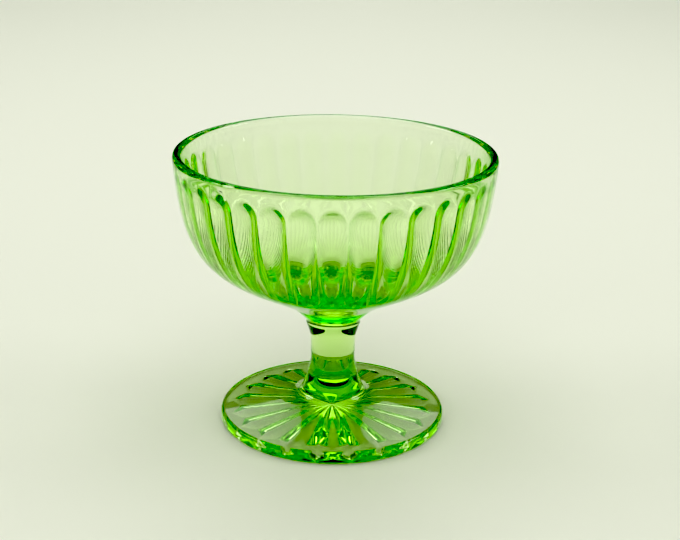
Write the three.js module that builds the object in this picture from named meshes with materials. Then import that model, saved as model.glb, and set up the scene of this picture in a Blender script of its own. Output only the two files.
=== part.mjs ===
// A footed sherbet glass of green pressed glass: a bowl that is smooth outside and panelled
// inside, a tapered collar, a short waisted stem, and a round foot with a star of rays pressed
// into its underside.
// Millimetres, +Z up. The origin is the centre of the ring that the foot rests on.
import * as THREE from 'three';

// Heights of the four pieces, stacked from the table up. Together they are the glass's height.
const FOOT_HEIGHT = 16.2;
const STEM_HEIGHT = 15.8;
const COLLAR_HEIGHT = 5.8;
const BOWL_HEIGHT = 48.2;

// Radii of the flat faces where one piece runs into the next.
const STEM_BASE_RADIUS = 7.6;
const STEM_TOP_RADIUS = 8.4;
const BOWL_BASE_RADIUS = 13.2;

// Bowl: the rim, the floor, and the ends of the curves of the outer and inner wall.
// A handle is how far a curve keeps close to its starting direction.
const RIM_RADIUS = 48.3;
const LIP_THICKNESS = 2.8;
const FLOOR_THICKNESS = 9;
const WALL_LEAN = 4;
const BASE_SLOPE = 31.6;
const OUTER_BASE_HANDLE = 26.3;
const OUTER_WALL_HANDLE = 37;
const INNER_FLOOR_HANDLE = 31;
const INNER_WALL_HANDLE = 30;

// Panels: lobes side by side round the inside of the bowl, each with a round arch at its top.
// They stand in from the inner wall and leave a groove between every two.
const PANEL_COUNT = 34;
const GROOVE_AZIMUTH = 4.6;
const PANEL_BULGE = 0.15;
const ARCH_DROP = 4.3;
const ARCH_HEIGHT = 5;
const PANEL_END_RADIUS = 8;
const PANEL_RUNOUT = 6;

// Collar: a cone with one fine step, running out in a hollow curve to the stem.
const STEP_RADIUS = 10.6;
const STEP_HEIGHT = 3.1;
const STEP_DEPTH = 0.3;
const COLLAR_NECK_HANDLE = 1.6;
const STEP_LEAN = 45;

// Stem: a waisted column, narrowest a little above its middle.
const WAIST_RADIUS = 6.85;
const WAIST_HEIGHT = 8;
const WAIST_HANDLE = 4;
const STEM_END_HANDLE = 4;
const STEM_END_LEAN = 17;

// Foot: the disc, its edge, the ring that it rests on and the flare up to the stem.
const FOOT_RADIUS = 34.9;
const EDGE_HEIGHT = 3.9;
const EDGE_ROUNDING = 1.3;
const REST_RING_WIDTH = 2.2;
const UNDERSIDE_RISE = 0.8;
const UNDERSIDE_SLOPE = 1.5;
const UNDERSIDE_CENTRE_HANDLE = 10.5;
const UNDERSIDE_RING_HANDLE = 15.7;
const DISC_SLOPE = 6;
const DISC_HANDLE = 24.7;
const NECK_LEAN = 14.8;
const NECK_HANDLE = 9.3;

// Rays: narrow grooves in the underside with rounded glass between them, each ending in a point.
// The depth of a ray is a share of half its width.
const RAY_COUNT = 20;
const RAY_AZIMUTH = 10;
const RAY_DEPTH = 0.4;
const RAY_START_RADIUS = 3;
const RAY_POINT_LENGTH = 3;
const RAY_BORDER = 0.2;

// How finely the round shapes are divided: columns round the glass, rows along each curve.
const COLUMNS_PER_PANEL = 4;
const COLUMNS_PER_RAY = 4;
const STEM_COLUMNS = 44;
const COLLAR_COLUMNS = 48;
const OUTER_WALL_ROWS = 11;
const LIP_ROWS = 4;
const ARCH_ROWS = 5;
const PANEL_ROWS = 9;
const NECK_ROWS = 4;
const EDGE_ROWS = 3;
const FLARE_ROWS = 10;

// The shine of the glass, and how closely a height on a curve is searched for.
const SURFACE_ROUGHNESS = 0.05;
const CLOSE_ENOUGH = 1e-6;

const { clamp, degToRad } = THREE.MathUtils;
const at = (radius, height) => new THREE.Vector2(radius, height);
const toward = (degrees, length) => at(Math.cos(degToRad(degrees)), Math.sin(degToRad(degrees)))
  .multiplyScalar(length);

function glassMesh(name, geometry, colour) {
  const material = new THREE.MeshStandardMaterial({
    color: colour, roughness: SURFACE_ROUGHNESS, metalness: 0,
  });
  const mesh = new THREE.Mesh(geometry, material);
  mesh.name = name;
  return mesh;
}

// The rows of a curve between two shares of its length, without the row that it starts on.
// Each row knows how far along the curve it lies and which way the curve runs there.
function rowsAlong(curve, steps, from = 0, to = 1) {
  const rows = [];
  for (let step = 1; step <= steps; step += 1) {
    const share = from + ((to - from) * step) / steps;
    const row = curve.getPointAt(share);
    row.travelled = share * curve.getLength();
    row.tangent = curve.getTangentAt(share);
    rows.push(row);
  }
  return rows;
}

// A curve between two ends, leaving the first and reaching the second along the given handles.
function bend(start, startHandle, endHandle, end) {
  const leave = start.clone().add(startHandle);
  const reach = end.clone().add(endHandle);
  return new THREE.CubicBezierCurve(start, leave, reach, end);
}

// Turns an outline of rows about the upright axis. The first column is at an azimuth that is
// measured from -Y toward +X. shift(row, column) moves a vertex by (outward, upward).
function turn(outline, columns, azimuth = 0, shift = () => null) {
  const geometry = new THREE.LatheGeometry(outline, columns, degToRad(azimuth));
  geometry.rotateX(Math.PI / 2);
  const position = geometry.attributes.position;
  for (let index = 0; index < position.count; index += 1) {
    const row = outline[index % outline.length];
    const offset = shift(row, Math.floor(index / outline.length));
    if (offset) {
      const scale = (row.x + offset.x) / row.x;
      position.setXYZ(
        index,
        position.getX(index) * scale,
        position.getY(index) * scale,
        position.getZ(index) + offset.y,
      );
    }
  }
  geometry.computeVertexNormals();
  return geometry;
}

// Where a column falls on a repeated feature: 0 in the middle of one, 1 between two.
function placeAcross(column, columnsPerFeature) {
  return Math.abs((2 * (column % columnsPerFeature)) / columnsPerFeature - 1);
}

// Bowl. Its outline runs out along the base, up the outer wall, over the lip and down inside.
// The panels follow the inner wall: full depth below the arch, less and less within it, and
// running out again on the floor.
function panelBulge(row, column) {
  const width = (2 * Math.PI * row.x) / PANEL_COUNT;
  const fromRim = row.travelled + LIP_THICKNESS / 2;
  const belowArch = clamp((fromRim - ARCH_DROP) / ARCH_HEIGHT, 0, 1);
  const plunge = 1 - (1 - belowArch) ** 2;
  const runout = clamp((row.x - PANEL_END_RADIUS) / PANEL_RUNOUT, 0, 1);
  const place = placeAcross(column, COLUMNS_PER_PANEL);
  return PANEL_BULGE * width * runout * Math.max(0, plunge - place ** 2);
}

function makeBowl() {
  const lipRadius = LIP_THICKNESS / 2;
  const lipHeight = BOWL_HEIGHT - lipRadius;
  const outerTop = at(RIM_RADIUS, lipHeight);
  const innerTop = at(RIM_RADIUS - LIP_THICKNESS, lipHeight);
  const outer = bend(
    at(BOWL_BASE_RADIUS, 0),
    toward(BASE_SLOPE, OUTER_BASE_HANDLE),
    toward(-90 - WALL_LEAN, OUTER_WALL_HANDLE),
    outerTop,
  );
  const lip = new THREE.EllipseCurve(
    RIM_RADIUS - lipRadius, lipHeight, lipRadius, lipRadius, 0, Math.PI,
  );
  const inner = bend(
    innerTop,
    toward(-90 - WALL_LEAN, INNER_WALL_HANDLE),
    at(INNER_FLOOR_HANDLE, 0),
    at(0, FLOOR_THICKNESS),
  );
  const springing = (ARCH_DROP + ARCH_HEIGHT - lipRadius) / inner.getLength();
  const inside = [
    ...rowsAlong(inner, ARCH_ROWS, 0, springing), ...rowsAlong(inner, PANEL_ROWS, springing, 1),
  ];
  const panelled = new Set(inside);
  const outline = [
    at(0, 0), at(BOWL_BASE_RADIUS, 0), ...rowsAlong(outer, OUTER_WALL_ROWS),
    ...rowsAlong(lip, LIP_ROWS), ...inside,
  ];
  const columns = PANEL_COUNT * COLUMNS_PER_PANEL;
  const geometry = turn(outline, columns, GROOVE_AZIMUTH, (row, column) => {
    if (!panelled.has(row)) return null;
    const bulge = panelBulge(row, column);
    return bulge > 0 ? at(row.tangent.y * bulge, -row.tangent.x * bulge) : null;
  });
  return glassMesh('bowl', geometry, 0xa6d65a);
}

// Collar. From the stem's top it curves out to the step, then runs as a cone to the bowl.
function makeCollar() {
  const neck = bend(
    at(STEM_TOP_RADIUS, 0),
    at(0, COLLAR_NECK_HANDLE),
    toward(180 + STEP_LEAN, COLLAR_NECK_HANDLE),
    at(STEP_RADIUS - STEP_DEPTH, STEP_HEIGHT),
  );
  const outline = [
    at(0, 0),
    at(STEM_TOP_RADIUS, 0),
    ...rowsAlong(neck, NECK_ROWS),
    at(STEP_RADIUS, STEP_HEIGHT + STEP_DEPTH),
    at(BOWL_BASE_RADIUS, COLLAR_HEIGHT),
    at(0, COLLAR_HEIGHT),
  ];
  return glassMesh('collar', turn(outline, COLLAR_COLUMNS), 0x4fb81e);
}

// Stem. Two curves meet at the waist, where the side is upright.
function makeStem() {
  const waist = at(WAIST_RADIUS, WAIST_HEIGHT);
  const lower = bend(
    at(STEM_BASE_RADIUS, 0),
    toward(90 + STEM_END_LEAN, STEM_END_HANDLE),
    at(0, -WAIST_HANDLE),
    waist,
  );
  const upper = bend(
    waist,
    at(0, WAIST_HANDLE),
    toward(-90 - STEM_END_LEAN, STEM_END_HANDLE),
    at(STEM_TOP_RADIUS, STEM_HEIGHT),
  );
  const outline = [
    at(0, 0), at(STEM_BASE_RADIUS, 0), ...rowsAlong(lower, NECK_ROWS),
    ...rowsAlong(upper, NECK_ROWS), at(0, STEM_HEIGHT),
  ];
  return glassMesh('stem', turn(outline, STEM_COLUMNS), 0x8fd24a);
}

// The height of a curve at a radius, for a curve that only runs outward.
function heightOn(curve, radius) {
  let low = 0;
  let high = 1;
  while (high - low > CLOSE_ENOUGH) {
    const middle = (low + high) / 2;
    if (curve.getPoint(middle).x < radius) low = middle;
    else high = middle;
  }
  return curve.getPoint(low).y;
}

// Foot. The outline runs out along the hollow underside and the flat ring that stands on the
// table, round the edge, and back in along the disc and up the flare to the stem.
// A ray is as deep as its width allows until it narrows to its point. The glass between two rays
// stands lowest half a ray's width to either side of its middle.
const FIRST_RAY_COLUMN = RAY_AZIMUTH - 180 / RAY_COUNT;

function rayDepth(row, column, tip) {
  const halfWidth = (Math.PI * row.x) / RAY_COUNT;
  const toTip = clamp((tip - row.x) / RAY_POINT_LENGTH, 0, 1);
  const place = placeAcross(column, COLUMNS_PER_RAY);
  return RAY_DEPTH * halfWidth * Math.max(0, toTip - place) ** 2;
}

function makeFoot() {
  const ringOuter = FOOT_RADIUS - EDGE_ROUNDING;
  const ringInner = ringOuter - REST_RING_WIDTH;
  const tip = ringInner - RAY_BORDER;
  const underside = bend(
    at(0, UNDERSIDE_RISE),
    at(UNDERSIDE_CENTRE_HANDLE, 0),
    toward(180 - UNDERSIDE_SLOPE, UNDERSIDE_RING_HANDLE),
    at(ringInner, 0),
  );
  const shaft = tip - RAY_POINT_LENGTH;
  const radii = [
    RAY_START_RADIUS, shaft / 3, (2 * shaft) / 3, shaft, shaft + RAY_POINT_LENGTH / 2, tip,
  ];
  const hollow = radii.map((radius) => at(radius, heightOn(underside, radius)));
  const pressed = new Set(hollow);
  const edge = new THREE.EllipseCurve(
    ringOuter, EDGE_ROUNDING, EDGE_ROUNDING, EDGE_ROUNDING, -Math.PI / 2, 0,
  );
  const shoulder = new THREE.EllipseCurve(
    ringOuter, EDGE_HEIGHT - EDGE_ROUNDING, EDGE_ROUNDING, EDGE_ROUNDING, 0, Math.PI / 2,
  );
  const flare = bend(
    at(ringOuter, EDGE_HEIGHT),
    toward(180 - DISC_SLOPE, DISC_HANDLE),
    toward(-90 + NECK_LEAN, NECK_HANDLE),
    at(STEM_BASE_RADIUS, FOOT_HEIGHT),
  );
  const outline = [
    at(0, UNDERSIDE_RISE), ...hollow, at(ringInner, 0), at(ringOuter, 0),
    ...rowsAlong(edge, EDGE_ROWS),
    at(FOOT_RADIUS, EDGE_HEIGHT - EDGE_ROUNDING), ...rowsAlong(shoulder, EDGE_ROWS),
    ...rowsAlong(flare, FLARE_ROWS),
    at(0, FOOT_HEIGHT),
  ];
  const geometry = turn(outline, RAY_COUNT * COLUMNS_PER_RAY, FIRST_RAY_COLUMN, (row, column) => (
    pressed.has(row) ? at(0, rayDepth(row, column, tip)) : null
  ));
  return glassMesh('foot', geometry, 0x6cc62c);
}

// The pieces stand one on another, each on the flat face below it.
const glass = new THREE.Group();
let level = 0;
for (const [piece, height] of [
  [makeFoot(), FOOT_HEIGHT],
  [makeStem(), STEM_HEIGHT],
  [makeCollar(), COLLAR_HEIGHT],
  [makeBowl(), BOWL_HEIGHT],
]) {
  piece.position.z = level;
  glass.add(piece);
  level += height;
}

export default glass;
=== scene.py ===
import math

import bpy
import numpy as np
from bpy.props import FloatProperty, FloatVectorProperty, IntProperty, PointerProperty
from mathutils import Matrix, Vector


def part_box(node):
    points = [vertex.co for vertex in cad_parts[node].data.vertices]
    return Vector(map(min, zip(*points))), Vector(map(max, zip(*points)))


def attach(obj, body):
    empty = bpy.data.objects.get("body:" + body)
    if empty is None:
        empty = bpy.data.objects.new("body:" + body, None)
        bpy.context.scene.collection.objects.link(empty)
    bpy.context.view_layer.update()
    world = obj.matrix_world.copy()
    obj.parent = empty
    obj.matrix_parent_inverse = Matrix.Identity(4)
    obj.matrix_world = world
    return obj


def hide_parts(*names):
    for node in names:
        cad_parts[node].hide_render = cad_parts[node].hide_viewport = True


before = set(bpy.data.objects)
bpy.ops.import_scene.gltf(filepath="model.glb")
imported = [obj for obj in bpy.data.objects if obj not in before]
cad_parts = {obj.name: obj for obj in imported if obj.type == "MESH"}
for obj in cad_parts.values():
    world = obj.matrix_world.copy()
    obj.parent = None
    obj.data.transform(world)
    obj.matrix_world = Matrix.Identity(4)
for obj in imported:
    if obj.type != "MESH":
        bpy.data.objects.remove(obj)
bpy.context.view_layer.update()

bl_info = {
    "name": "Footed Sherbet Glass",
    "version": (1, 0, 0),
    "blender": (4, 5, 0),
    "location": "3D View > Sidebar > Sherbet Glass",
    "description": "Models a footed sherbet glass of green pressed glass, piece by piece",
    "category": "Add Mesh",
}

MM = 0.001

# The box of the part as it came, and the boxes that its four pieces fill.
BOWL_LOW, BOWL_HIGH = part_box("bowl")
COLLAR_LOW, COLLAR_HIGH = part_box("collar")
STEM_LOW, STEM_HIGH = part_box("stem")
FOOT_LOW, FOOT_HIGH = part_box("foot")

# The glass is one casting. It is modelled in four pieces that meet on flat joint faces, and each
# face stands back by this gap. A joint face is marked, so that the glass bends no light there.
JOINT_GAP = 0.01 * MM
JOINT_MARK = "joint"
JOINT_ROWS = 3

# Columns round the pieces that are the same all round.
PLAIN_COLUMNS = 160

# A curve is drawn first with this many points, and its rows are then spaced evenly along it.
CURVE_POINTS = 2001

# Azimuths run from -Y toward +X.
NICK_AZIMUTHS = (-136.0, -47.0, 43.0)

# The light of the room grows between these two directions, given by their Y.
ROOM_DARK_Y = -0.1
ROOM_LIT_Y = -0.7

# Levels that come out as black and as white, as (red, green, blue).
BLACK_LEVEL = (0.11, 0.085, 0.11)
WHITE_LEVEL = (0.86, 0.85, 0.86)

# How often light may bounce: in all and through glass, off shiny things, off matt things.
GLASS_BOUNCES = 32
SHINY_BOUNCES = 12
MATT_BOUNCES = 4

# Soft lights: name, place, point aimed at, width, depth and brightness.
SOFT_LIGHTS = (
    ("overhead", (0, 0.5, 1.0), (0, 0.42, 0), 1.0, 2.6, 1.5),
    ("left_softbox", (-0.9, 0.1, 0.7), (0, 0, 0.08), 0.5, 0.35, 4.0),
    ("right_softbox", (0.9, 0.1, 0.7), (0, 0, 0.08), 0.5, 0.35, 4.0),
)


def length(name, description, default):
    """A property for a length, with its default in millimetres."""
    return FloatProperty(
        name=name, description=description, default=default * MM, unit="LENGTH", precision=5,
    )


def angle(name, description, default):
    """A property for an angle, with its default in degrees."""
    return FloatProperty(
        name=name, description=description, default=math.radians(default), subtype="ANGLE",
    )


def share(name, description, default):
    """A property for a share from 0 to 1."""
    return FloatProperty(
        name=name, description=description, default=default, min=0, max=1, subtype="FACTOR",
    )


class SherbetBowlSizes(bpy.types.PropertyGroup):
    """Sizes of the bowl. A handle is how far a curve keeps close to its starting direction."""

    base: length("Base Radius", "Radius of the face on the collar", 13.2)
    lip: length("Lip", "Thickness of the lip", 2.8)
    floor: length("Floor", "Glass between the base and the floor of the bowl", 9)
    wall_lean: angle("Wall Lean", "How far the walls lean out at the rim", 4)
    base_slope: angle("Base Slope", "Rise of the wall where it leaves the base", 31.6)
    outer_base: length("Outer Base Handle", "Handle of the outer wall at the base", 26.3)
    outer_rim: length("Outer Rim Handle", "Handle of the outer wall at the rim", 37)
    inner_rim: length("Inner Rim Handle", "Handle of the inner wall at the rim", 30)
    inner_floor: length("Inner Floor Handle", "Handle of the inner wall at the floor", 31)
    panels: IntProperty(name="Panels", description="Number of panels", default=34, min=3)
    turn: angle("Turn", "Azimuth of one groove between two panels", 4.6)
    bulge: share("Bulge", "How far a panel stands in, as a share of its width", 0.15)
    arch_drop: length("Arch Drop", "From the rim to the tops of the arches", 4.3)
    arch_height: length("Arch Height", "Height of the round top of a panel", 5)
    panel_end: length("Panel End", "Radius where the panels die away on the floor", 8)
    runout: length("Runout", "How far from their ends the panels reach full height", 6)
    flaw_turn: angle("Flaw Azimuth", "Azimuth of the blemish in the wall", -41.6)
    flaw_drop: length("Flaw Drop", "From the rim down to the blemish", 4.2)
    flaw_radius: length("Flaw Radius", "Radius of the blemish", 3.2)
    flaw_depth: length("Flaw Depth", "How deep the blemish is", 1.3)
    nick_radius: length("Nick Radius", "Radius of the small nicks in the rim", 1.1)
    nick_depth: length("Nick Depth", "How deep the nicks are", 0.35)


class SherbetStemSizes(bpy.types.PropertyGroup):
    """Sizes of the collar and the stem."""

    base: length("Stem Base", "Radius of the face on the foot", 7.6)
    top: length("Stem Top", "Radius of the face under the collar", 8.4)
    waist: length("Waist", "Radius of the narrowest part", 6.85)
    waist_height: length("Waist Height", "Height of the waist above the foot", 8)
    end_lean: angle("End Lean", "How far the stem leans at its two ends", 17)
    handle: length("Handle", "How far the stem keeps to its direction at ends and waist", 4)
    step: length("Step Radius", "Radius of the fine step of the collar", 10.6)
    step_height: length("Step Height", "Height of the step above the stem", 3.1)
    step_depth: length("Step Depth", "How far the step stands out", 0.3)
    step_lean: angle("Step Lean", "Lean of the curve where it reaches the step", 45)
    neck: length("Neck Handle", "How far the curve under the step keeps to its direction", 1.6)


class SherbetFootSizes(bpy.types.PropertyGroup):
    """Sizes of the foot."""

    edge: length("Edge", "Height of the edge of the disc", 3.9)
    rounding: length("Rounding", "Rounding of the edge", 1.3)
    ring: length("Ring", "Width of the flat ring that the glass stands on", 2.2)
    rise: length("Rise", "Height of the hollow under the foot", 0.8)
    slope: angle("Underside Slope", "Rise of the underside from the ring", 1.5)
    disc_slope: angle("Disc Slope", "Rise of the top of the disc from its edge", 6)
    disc: length("Disc Handle", "How far the disc keeps to its slope", 24.7)
    neck_lean: angle("Neck Lean", "Lean of the flare where it meets the stem", 14.8)
    neck: length("Neck Handle", "How far the flare keeps to its lean", 9.3)
    rays: IntProperty(name="Rays", description="Number of rays", default=20, min=3)
    turn: angle("Turn", "Azimuth of the middle of one ray", 10)
    depth: share("Ray Depth", "Depth of a ray as a share of half its width", 0.4)
    start: length("Ray Start", "Radius where the rays begin", 1)
    point: length("Point", "Length of the point of a ray", 3)
    border: length("Border", "Plain glass between the points and the ring", 0.2)


class SherbetGlassLook(bpy.types.PropertyGroup):
    """The green glass."""

    kept: FloatVectorProperty(
        name="Kept Colour", description="Colour that the glass lets through best",
        default=(0.58, 0.92, 0.08), subtype="COLOR", min=0, max=1,
    )
    density: FloatProperty(name="Density", description="Depth of the green", default=66)
    ior: FloatProperty(name="IOR", description="Refraction of the glass", default=1.5)
    wave: FloatProperty(name="Wave", description="Waves of the pressed skin per metre", default=90)
    wave_height: length("Wave Height", "Height of the waves of the pressed skin", 0.02)
    haze: share("Haze", "Roughness of the fine haze on the skin", 0.02)
    haze_grain: FloatProperty(name="Haze Grain", description="Patches of haze per metre", default=400)


class SherbetStageLook(bpy.types.PropertyGroup):
    """The floor, the room and the camera."""

    floor_colour: FloatVectorProperty(
        name="Floor Colour", description="Colour of the pale floor",
        default=(0.81, 0.82, 0.71), subtype="COLOR", min=0, max=1,
    )
    floor_roughness: share("Floor Roughness", "How matt the floor is", 0.9)
    floor_shine: share("Floor Shine", "How much the floor mirrors", 0.1)
    floor_drop: length("Floor Drop", "How far below the glass the floor lies", 0.02)
    floor_side: length("Floor Side", "How far the floor runs to each side", 500)
    floor_front: length("Floor Front", "How far the floor runs toward the viewer", 1000)
    floor_back: length("Floor Back", "How far the floor runs away from the viewer", 1050)
    room_front: FloatProperty(name="Room Front", description="Light of the room in front", default=0.55)
    room_back: FloatProperty(name="Room Back", description="Light of the room behind", default=0.02)
    camera_place: FloatVectorProperty(
        name="Camera", description="Place of the camera",
        default=(0, -0.392, 0.1879), subtype="TRANSLATION", unit="LENGTH", precision=4,
    )
    camera_pitch: angle("Pitch", "How far the camera looks down", 19.58)
    camera_yaw: angle("Yaw", "How far the camera turns to the left", -0.268)
    camera_roll: angle("Roll", "How far the camera leans", 0.95)
    camera_lens: FloatProperty(name="Lens", description="Focal length in millimetres", default=72.11)


def polar(degrees, size):
    """A step of the given size in a direction, as (outward, upward)."""
    return np.array((math.cos(math.radians(degrees)), math.sin(math.radians(degrees)))) * size


def spread(line, steps):
    """Evenly spaced points on a fine polyline, without its first point."""
    run = np.concatenate(([0], np.cumsum(np.hypot(*np.diff(line, axis=0).T))))
    goal = run[-1] * np.arange(1, steps + 1) / steps
    return np.stack([np.interp(goal, run, line[:, axis]) for axis in (0, 1)], axis=1)


def bend(start, leave, reach, end, steps):
    """Points on a cubic curve that leaves start and reaches end along the two handles."""
    t = np.linspace(0, 1, CURVE_POINTS)[:, None]
    start, end = np.asarray(start, float), np.asarray(end, float)
    line = (
        start * (1 - t) ** 3
        + (start + leave) * (3 * t * (1 - t) ** 2)
        + (end + reach) * (3 * t * t * (1 - t))
        + end * t ** 3
    )
    return spread(line, steps)


def arc(centre, radius, start, stop, steps):
    """Points on a round from one angle to another, without the first."""
    return np.array([
        np.asarray(centre) + polar(start + (stop - start) * step / steps, radius)
        for step in range(1, steps + 1)
    ])


def line(start, end, steps):
    """Points on a straight line, without the first."""
    t = np.arange(1, steps + 1)[:, None] / steps
    return np.asarray(start, float) * (1 - t) + np.asarray(end, float) * t


def joint_line(start, end):
    """Points across a joint face, without the first."""
    return line(start, end, JOINT_ROWS)


def first_rows():
    """The rows of a joint face that an outline starts with."""
    return set(range(1, JOINT_ROWS + 1))


def last_rows(outline):
    """The rows of a joint face that an outline ends with."""
    return set(range(len(outline) - JOINT_ROWS, len(outline)))


def outward(rows):
    """The direction out of the glass at each row of an outline."""
    run = np.gradient(rows, axis=0)
    run /= np.hypot(*run.T)[:, None]
    return np.stack([run[:, 1], -run[:, 0]], axis=1)


def all_round(outline, columns):
    """The radii and heights of an outline that is the same in every column."""
    return (np.repeat(outline[:, axis:axis + 1], columns, axis=1) for axis in (0, 1))


def columns_round(first, repeats, shares):
    """Azimuths of the columns of a feature that repeats all round, and each one's place.

    shares says where the columns fall across one feature. The place is 0 in its middle and 1 at
    its sides.
    """
    pitch = 2 * math.pi / repeats
    azimuths = first + pitch * (np.arange(repeats)[:, None] + shares[None, :]).ravel()
    return azimuths, np.tile(np.abs(2 * shares - 1), repeats)


def sharpen_joints(mesh, marks):
    """Marks the joint faces, and makes the edges round them sharp."""
    mesh.attributes.new(JOINT_MARK, "FLOAT", "FACE").data.foreach_set("value", marks)
    meets = {}
    for polygon, mark in zip(mesh.polygons, marks):
        for key in polygon.edge_keys:
            meets.setdefault(key, set()).add(mark)
    for edge in mesh.edges:
        edge.use_edge_sharp = len(meets[edge.key]) > 1


def turned(name, radii, heights, azimuths, joints):
    """A closed mesh from a grid of radii and heights, one row for each ring of the outline.

    The first and last rows lie on the axis. joints holds the rows that end a joint face.
    """
    rows, columns = radii.shape
    grid = np.stack([radii * np.sin(azimuths), -radii * np.cos(azimuths), heights], axis=2)
    verts = np.vstack([[grid[0, 0]], grid[1:-1].reshape(-1, 3), [grid[-1, 0]]])
    last = len(verts) - 1
    sides = [(column, (column + 1) % columns) for column in range(columns)]
    faces = [(0, 1 + b, 1 + a) for a, b in sides]
    ends = [1] * columns
    for row in range(1, rows - 2):
        low, high = 1 + (row - 1) * columns, 1 + row * columns
        faces += [(low + a, low + b, high + b, high + a) for a, b in sides]
        ends += [row + 1] * columns
    low = last - columns
    faces += [(low + a, low + b, last) for a, b in sides]
    ends += [rows - 1] * columns
    mesh = bpy.data.meshes.new(name)
    mesh.from_pydata(verts.tolist(), [], faces)
    mesh.update()
    mesh.shade_smooth()
    sharpen_joints(mesh, [float(end in joints) for end in ends])
    piece = bpy.data.objects.new(name, mesh)
    bpy.context.scene.collection.objects.link(piece)
    return piece


def noise(nodes, links, coordinates, scale, detail):
    """A noise texture over the object's own coordinates."""
    texture = nodes.new("ShaderNodeTexNoise")
    texture.inputs["Detail"].default_value = detail
    links.new(coordinates.outputs["Object"], texture.inputs["Vector"])
    links.new(scale, texture.inputs["Scale"])
    return texture.outputs["Fac"]


def pressed_surface():
    """A node group for the skin of pressed glass: soft waves in its height, and a fine haze."""
    group = bpy.data.node_groups.get("Pressed Skin")
    if group:
        return group
    group = bpy.data.node_groups.new("Pressed Skin", "ShaderNodeTree")
    for label in ("Wave Size", "Haze", "Haze Grain"):
        group.interface.new_socket(label, in_out="INPUT", socket_type="NodeSocketFloat")
    for label in ("Height", "Roughness"):
        group.interface.new_socket(label, in_out="OUTPUT", socket_type="NodeSocketFloat")
    nodes, links = group.nodes, group.links
    given, result = nodes.new("NodeGroupInput"), nodes.new("NodeGroupOutput")
    coordinates = nodes.new("ShaderNodeTexCoord")
    waves = noise(nodes, links, coordinates, given.outputs["Wave Size"], detail=1)
    patches = noise(nodes, links, coordinates, given.outputs["Haze Grain"], detail=2)
    dull = nodes.new("ShaderNodeMath")
    dull.operation = "MULTIPLY"
    links.new(patches, dull.inputs[0])
    links.new(given.outputs["Haze"], dull.inputs[1])
    links.new(waves, result.inputs["Height"])
    links.new(dull.outputs[0], result.inputs["Roughness"])
    return group


def green_glass():
    """The one glass of all four pieces. On the joint faces it bends no light."""
    material = bpy.data.materials.get("pressed_green_glass")
    if material:
        return material
    look = bpy.context.scene.sherbet_glass
    material = bpy.data.materials.new("pressed_green_glass")
    material.use_nodes = True
    nodes, links = material.node_tree.nodes, material.node_tree.links
    shader, output = nodes["Principled BSDF"], nodes["Material Output"]
    shader.inputs["Base Color"].default_value = (1, 1, 1, 1)
    shader.inputs["Transmission Weight"].default_value = 1
    shader.inputs["Metallic"].default_value = 0

    skin = nodes.new("ShaderNodeGroup")
    skin.node_tree = pressed_surface()
    skin.inputs["Wave Size"].default_value = look.wave
    skin.inputs["Haze"].default_value = look.haze
    skin.inputs["Haze Grain"].default_value = look.haze_grain
    bump = nodes.new("ShaderNodeBump")
    bump.inputs["Strength"].default_value = 1
    bump.inputs["Distance"].default_value = look.wave_height
    links.new(skin.outputs["Height"], bump.inputs["Height"])
    links.new(bump.outputs["Normal"], shader.inputs["Normal"])
    links.new(skin.outputs["Roughness"], shader.inputs["Roughness"])

    # from the refraction of glass off the joints to none on them
    mark = nodes.new("ShaderNodeAttribute")
    mark.attribute_name = JOINT_MARK
    bending = nodes.new("ShaderNodeMapRange")
    bending.inputs["To Min"].default_value = look.ior
    bending.inputs["To Max"].default_value = 1
    links.new(mark.outputs["Fac"], bending.inputs["Value"])
    links.new(bending.outputs["Result"], shader.inputs["IOR"])

    tint = nodes.new("ShaderNodeVolumeAbsorption")
    tint.inputs["Color"].default_value = (*look.kept, 1)
    tint.inputs["Density"].default_value = look.density
    links.new(tint.outputs["Volume"], output.inputs["Volume"])
    return material


def finish_piece(piece, node):
    """Gives a piece its glass, and its place in the frame."""
    piece.data.materials.append(green_glass())
    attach(piece, "root")
    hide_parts(node)


def dented(radii, heights, azimuths, out, place, radius, depth):
    """Presses a round dent into the glass. place is its (azimuth, radius, height)."""
    azimuth, where, level = place
    apart = (azimuths - azimuth + math.pi) % (2 * math.pi) - math.pi
    distance = (radii * apart) ** 2 + (radii - where) ** 2 + (heights - level) ** 2
    push = depth * np.clip(1 - distance / radius ** 2, 0, 1) ** 2
    return radii - out[:, :1] * push, heights - out[:, 1:] * push


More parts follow.
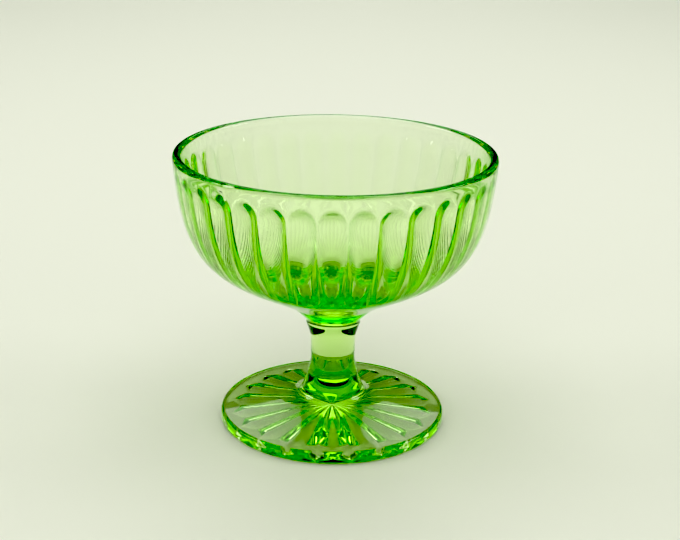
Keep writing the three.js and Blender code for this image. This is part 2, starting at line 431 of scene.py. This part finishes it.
class SHERBET_OT_bowl(bpy.types.Operator):
    """Add the bowl, smooth outside and panelled inside"""

    bl_idname = "sherbet.bowl"
    bl_label = "Bowl"

    COLUMNS_PER_PANEL = 20
    CROWDING = 0.6
    OUTER_ROWS = 44
    LIP_ROWS = 10
    INNER_ROWS = 80

    def execute(self, context):
        size = context.scene.sherbet_bowl
        rim = BOWL_HIGH.x
        base, top = BOWL_LOW.z + JOINT_GAP, BOWL_HIGH.z
        half_lip = size.lip / 2
        down = -90 - math.degrees(size.wall_lean)
        outer = bend(
            (size.base, base), polar(math.degrees(size.base_slope), size.outer_base),
            polar(down, size.outer_rim), (rim, top - half_lip), self.OUTER_ROWS,
        )
        lip = arc((rim - half_lip, top - half_lip), half_lip, 0, 180, self.LIP_ROWS)
        inner = bend(
            lip[-1], polar(down, size.inner_rim),
            (size.inner_floor, 0), (0, BOWL_LOW.z + size.floor), self.INNER_ROWS,
        )
        above = np.vstack([[(0, base)], joint_line((0, base), (size.base, base)), outer, lip])
        outline = np.vstack([above, inner])
        inside = slice(len(above), len(outline))
        out = outward(outline)

        # the columns crowd together at the grooves between the panels
        shares = np.arange(self.COLUMNS_PER_PANEL) / self.COLUMNS_PER_PANEL
        shares = shares - self.CROWDING * np.sin(2 * np.pi * shares) / (2 * np.pi)
        azimuths, place = columns_round(size.turn, size.panels, shares)
        radii, heights = all_round(outline, len(azimuths))

        # each panel is a lobe: full below its arch, dying away towards the middle of the floor
        travelled = np.cumsum(np.hypot(*np.diff(np.vstack([lip[-1:], inner]), axis=0).T))
        width = 2 * math.pi * inner[:, 0] / size.panels
        rise = 1 - np.clip((travelled + half_lip - size.arch_drop) / size.arch_height, 0, 1)
        away = rise[:, None] ** 2 + place[None, :] ** 2
        fade = np.clip((inner[:, 0] - size.panel_end) / size.runout, 0, 1)
        bulge = (size.bulge * width * fade)[:, None] * np.clip(1 - away, 0, 1)
        radii[inside] += out[inside, :1] * bulge
        heights[inside] += out[inside, 1:] * bulge

        flaw = (size.flaw_turn, rim, top - size.flaw_drop)
        dents = [(flaw, size.flaw_radius, size.flaw_depth)]
        for azimuth in NICK_AZIMUTHS:
            nick = (math.radians(azimuth), rim - half_lip, top)
            dents.append((nick, size.nick_radius, size.nick_depth))
        for dent in dents:
            radii, heights = dented(radii, heights, azimuths, out, *dent)
        piece = turned("bowl_panelled", radii, heights, azimuths, first_rows())
        finish_piece(piece, "bowl")
        return {"FINISHED"}


def plain_turned(name, outline, joints):
    """A closed mesh with the same outline all round."""
    azimuths = np.arange(PLAIN_COLUMNS) * 2 * math.pi / PLAIN_COLUMNS
    radii, heights = all_round(outline, PLAIN_COLUMNS)
    return turned(name, radii, heights, azimuths, joints)


class SHERBET_OT_collar(bpy.types.Operator):
    """Add the tapered collar under the bowl"""

    bl_idname = "sherbet.collar"
    bl_label = "Collar"

    NECK_ROWS = 14
    STEP_ROWS = 4
    CONE_ROWS = 12

    def execute(self, context):
        size = context.scene.sherbet_stem
        bowl = context.scene.sherbet_bowl
        low, high = COLLAR_LOW.z + JOINT_GAP, COLLAR_HIGH.z - JOINT_GAP
        step_low = (size.step - size.step_depth, COLLAR_LOW.z + size.step_height)
        step_high = (size.step, step_low[1] + size.step_depth)
        neck = bend(
            (size.top, low), polar(90, size.neck),
            polar(180 + math.degrees(size.step_lean), size.neck), step_low, self.NECK_ROWS,
        )
        outline = np.vstack([
            [(0, low)], joint_line((0, low), (size.top, low)), neck,
            line(step_low, step_high, self.STEP_ROWS),
            line(step_high, (bowl.base, high), self.CONE_ROWS),
            joint_line((bowl.base, high), (0, high)),
        ])
        piece = plain_turned("collar_stepped", outline, first_rows() | last_rows(outline))
        finish_piece(piece, "collar")
        return {"FINISHED"}


class SHERBET_OT_stem(bpy.types.Operator):
    """Add the waisted stem"""

    bl_idname = "sherbet.stem"
    bl_label = "Stem"

    HALF_ROWS = 24

    def execute(self, context):
        size = context.scene.sherbet_stem
        low, high = STEM_LOW.z + JOINT_GAP, STEM_HIGH.z - JOINT_GAP
        waist = (size.waist, STEM_LOW.z + size.waist_height)
        lean = 90 + math.degrees(size.end_lean)
        outline = np.vstack([
            [(0, low)], joint_line((0, low), (size.base, low)),
            bend(
                (size.base, low), polar(lean, size.handle), polar(-90, size.handle), waist,
                self.HALF_ROWS,
            ),
            bend(
                waist, polar(90, size.handle), polar(-lean, size.handle), (size.top, high),
                self.HALF_ROWS,
            ),
            joint_line((size.top, high), (0, high)),
        ])
        piece = plain_turned("stem_waisted", outline, first_rows() | last_rows(outline))
        finish_piece(piece, "stem")
        return {"FINISHED"}


class SHERBET_OT_foot(bpy.types.Operator):
    """Add the foot with the star under it"""

    bl_idname = "sherbet.foot"
    bl_label = "Foot"

    COLUMNS_PER_RAY = 32
    UNDERSIDE_ROWS = 60
    RING_ROWS = 3
    ROUND_ROWS = 8
    EDGE_ROWS = 2
    TOP_ROWS = 60

    def execute(self, context):
        size = context.scene.sherbet_foot
        base = context.scene.sherbet_stem.base
        rim, high = FOOT_HIGH.x, FOOT_HIGH.z - JOINT_GAP
        ring = rim - size.rounding
        inner = ring - size.ring
        tip = inner - size.border
        centre_handle, ring_handle = inner / 3, inner / 2
        underside = bend(
            (0, size.rise), (centre_handle, 0),
            polar(180 - math.degrees(size.slope), ring_handle), (inner, 0), self.UNDERSIDE_ROWS,
        )
        underside = underside[underside[:, 0] > size.start]
        top = bend(
            (ring, size.edge), polar(180 - math.degrees(size.disc_slope), size.disc),
            polar(math.degrees(size.neck_lean) - 90, size.neck), (base, high), self.TOP_ROWS,
        )
        shoulder = size.edge - size.rounding
        outline = np.vstack([
            [(0, size.rise)], underside, line((inner, 0), (ring, 0), self.RING_ROWS),
            arc((ring, size.rounding), size.rounding, -90, 0, self.ROUND_ROWS),
            line((rim, size.rounding), (rim, shoulder), self.EDGE_ROWS),
            arc((ring, shoulder), size.rounding, 0, 90, self.ROUND_ROWS), top,
            joint_line((base, high), (0, high)),
        ])

        # each ray is a groove with curved sides, deepest in its middle and shallow at its point
        half_turn = math.pi / size.rays
        shares = np.arange(self.COLUMNS_PER_RAY) / self.COLUMNS_PER_RAY
        azimuths, place = columns_round(size.turn - half_turn, size.rays, shares)
        radii, heights = all_round(outline, len(azimuths))
        to_tip = np.clip((tip - underside[:, :1]) / size.point, 0, 1)
        deepest = size.depth * half_turn * underside[:, :1]
        heights[1:1 + len(underside)] += deepest * np.maximum(0, to_tip - place) ** 2
        heights[0] = heights[1].min()
        piece = turned("foot_rayed", radii, heights, azimuths, last_rows(outline))
        finish_piece(piece, "foot")
        return {"FINISHED"}


def add_floor(scene, size):
    """A plain pale floor, a hair below the glass."""
    mesh = bpy.data.meshes.new("floor")
    side, front, back = size.floor_side, -size.floor_front, size.floor_back
    low = -size.floor_drop
    corners = [(-side, front, low), (side, front, low), (side, back, low), (-side, back, low)]
    mesh.from_pydata(corners, [], [(0, 1, 2, 3)])
    floor = bpy.data.objects.new("floor", mesh)
    scene.collection.objects.link(floor)
    paint = bpy.data.materials.new("pale_floor")
    paint.use_nodes = True
    shader = paint.node_tree.nodes["Principled BSDF"]
    shader.inputs["Base Color"].default_value = (*size.floor_colour, 1)
    shader.inputs["Roughness"].default_value = size.floor_roughness
    shader.inputs["Specular IOR Level"].default_value = size.floor_shine
    mesh.materials.append(paint)


def add_room(scene, size):
    """Light from all round: little from behind the table, more from the front."""
    world = bpy.data.worlds.new("studio")
    scene.world = world
    world.use_nodes = True
    nodes, links = world.node_tree.nodes, world.node_tree.links
    direction = nodes.new("ShaderNodeTexCoord")
    split = nodes.new("ShaderNodeSeparateXYZ")
    room = nodes.new("ShaderNodeMapRange")
    room.interpolation_type = "SMOOTHSTEP"
    room.inputs["From Min"].default_value = ROOM_DARK_Y
    room.inputs["From Max"].default_value = ROOM_LIT_Y
    room.inputs["To Min"].default_value = size.room_back
    room.inputs["To Max"].default_value = size.room_front
    background = nodes["Background"]
    background.inputs["Color"].default_value = (1, 1, 1, 1)
    links.new(direction.outputs["Generated"], split.inputs[0])
    links.new(split.outputs["Y"], room.inputs["Value"])
    links.new(room.outputs["Result"], background.inputs["Strength"])


def add_light(scene, name, place, aim, width, depth, brightness):
    """A soft rectangular light."""
    lamp = bpy.data.lights.new(name, "AREA")
    lamp.shape = "RECTANGLE"
    lamp.size, lamp.size_y = width, depth
    lamp.energy = brightness * math.pi * width * depth
    light = bpy.data.objects.new(name, lamp)
    scene.collection.objects.link(light)
    light.location = place
    towards = Vector(aim) - Vector(place)
    light.rotation_euler = towards.to_track_quat("-Z", "Y").to_euler()


def add_camera(scene, size):
    """The camera, a little above the rim and looking down on the glass."""
    lens = bpy.data.cameras.new("camera")
    lens.sensor_fit = "HORIZONTAL"
    lens.sensor_width = 36
    lens.lens = size.camera_lens
    lens.clip_start = 10 * MM
    camera = bpy.data.objects.new("camera", lens)
    scene.collection.objects.link(camera)
    turn = (
        Matrix.Rotation(size.camera_yaw, 4, "Z")
        @ Matrix.Rotation(math.pi / 2 - size.camera_pitch, 4, "X")
        @ Matrix.Rotation(size.camera_roll, 4, "Z")
    )
    camera.matrix_world = Matrix.Translation(size.camera_place) @ turn
    scene.camera = camera


def set_tone(scene):
    """Strong contrast, and enough bounces of light to see through many walls of glass."""
    view = scene.view_settings
    view.view_transform = "Standard"
    view.use_curve_mapping = True
    view.curve_mapping.black_level = BLACK_LEVEL
    view.curve_mapping.white_level = WHITE_LEVEL
    view.curve_mapping.update()
    scene.cycles.max_bounces = GLASS_BOUNCES
    scene.cycles.transmission_bounces = GLASS_BOUNCES
    scene.cycles.glossy_bounces = SHINY_BOUNCES
    scene.cycles.diffuse_bounces = MATT_BOUNCES


class SHERBET_OT_stage(bpy.types.Operator):
    """Add the floor, the lights and the camera"""

    bl_idname = "sherbet.stage"
    bl_label = "Stage"

    def execute(self, context):
        scene = context.scene
        size = scene.sherbet_stage
        add_floor(scene, size)
        add_room(scene, size)
        for light in SOFT_LIGHTS:
            add_light(scene, *light)
        add_camera(scene, size)
        set_tone(scene)
        return {"FINISHED"}


class SHERBET_PT_panel(bpy.types.Panel):
    """The glass, piece by piece"""

    bl_idname = "SHERBET_PT_panel"
    bl_label = "Sherbet Glass"
    bl_space_type = "VIEW_3D"
    bl_region_type = "UI"
    bl_category = "Sherbet Glass"

    def draw(self, context):
        scene = context.scene
        for label, owner, operators in PANEL_ROWS:
            box = self.layout.box()
            box.label(text=label)
            settings = getattr(scene, owner)
            for key in settings.__annotations__:
                box.prop(settings, key)
            for operator in operators:
                box.operator(operator)


# Each box of the panel: its title, the sizes in it and the operators that use them.
PANEL_ROWS = (
    ("Bowl", "sherbet_bowl", ("sherbet.bowl",)),
    ("Collar and Stem", "sherbet_stem", ("sherbet.collar", "sherbet.stem")),
    ("Foot", "sherbet_foot", ("sherbet.foot",)),
    ("Green Glass", "sherbet_glass", ()),
    ("Stage", "sherbet_stage", ("sherbet.stage",)),
)
PROPERTY_GROUPS = {
    "sherbet_bowl": SherbetBowlSizes,
    "sherbet_stem": SherbetStemSizes,
    "sherbet_foot": SherbetFootSizes,
    "sherbet_glass": SherbetGlassLook,
    "sherbet_stage": SherbetStageLook,
}
CLASSES = (
    *PROPERTY_GROUPS.values(), SHERBET_OT_bowl, SHERBET_OT_collar, SHERBET_OT_stem,
    SHERBET_OT_foot, SHERBET_OT_stage, SHERBET_PT_panel,
)


def register():
    for item in CLASSES:
        bpy.utils.register_class(item)
    for key, group in PROPERTY_GROUPS.items():
        setattr(bpy.types.Scene, key, PointerProperty(type=group))


def unregister():
    for key in PROPERTY_GROUPS:
        delattr(bpy.types.Scene, key)
    for item in reversed(CLASSES):
        bpy.utils.unregister_class(item)


def main():
    register()
    bpy.ops.sherbet.foot()
    bpy.ops.sherbet.stem()
    bpy.ops.sherbet.collar()
    bpy.ops.sherbet.bowl()
    bpy.ops.sherbet.stage()
    bpy.context.view_layer.update()


if __name__ == "__main__":
    main()
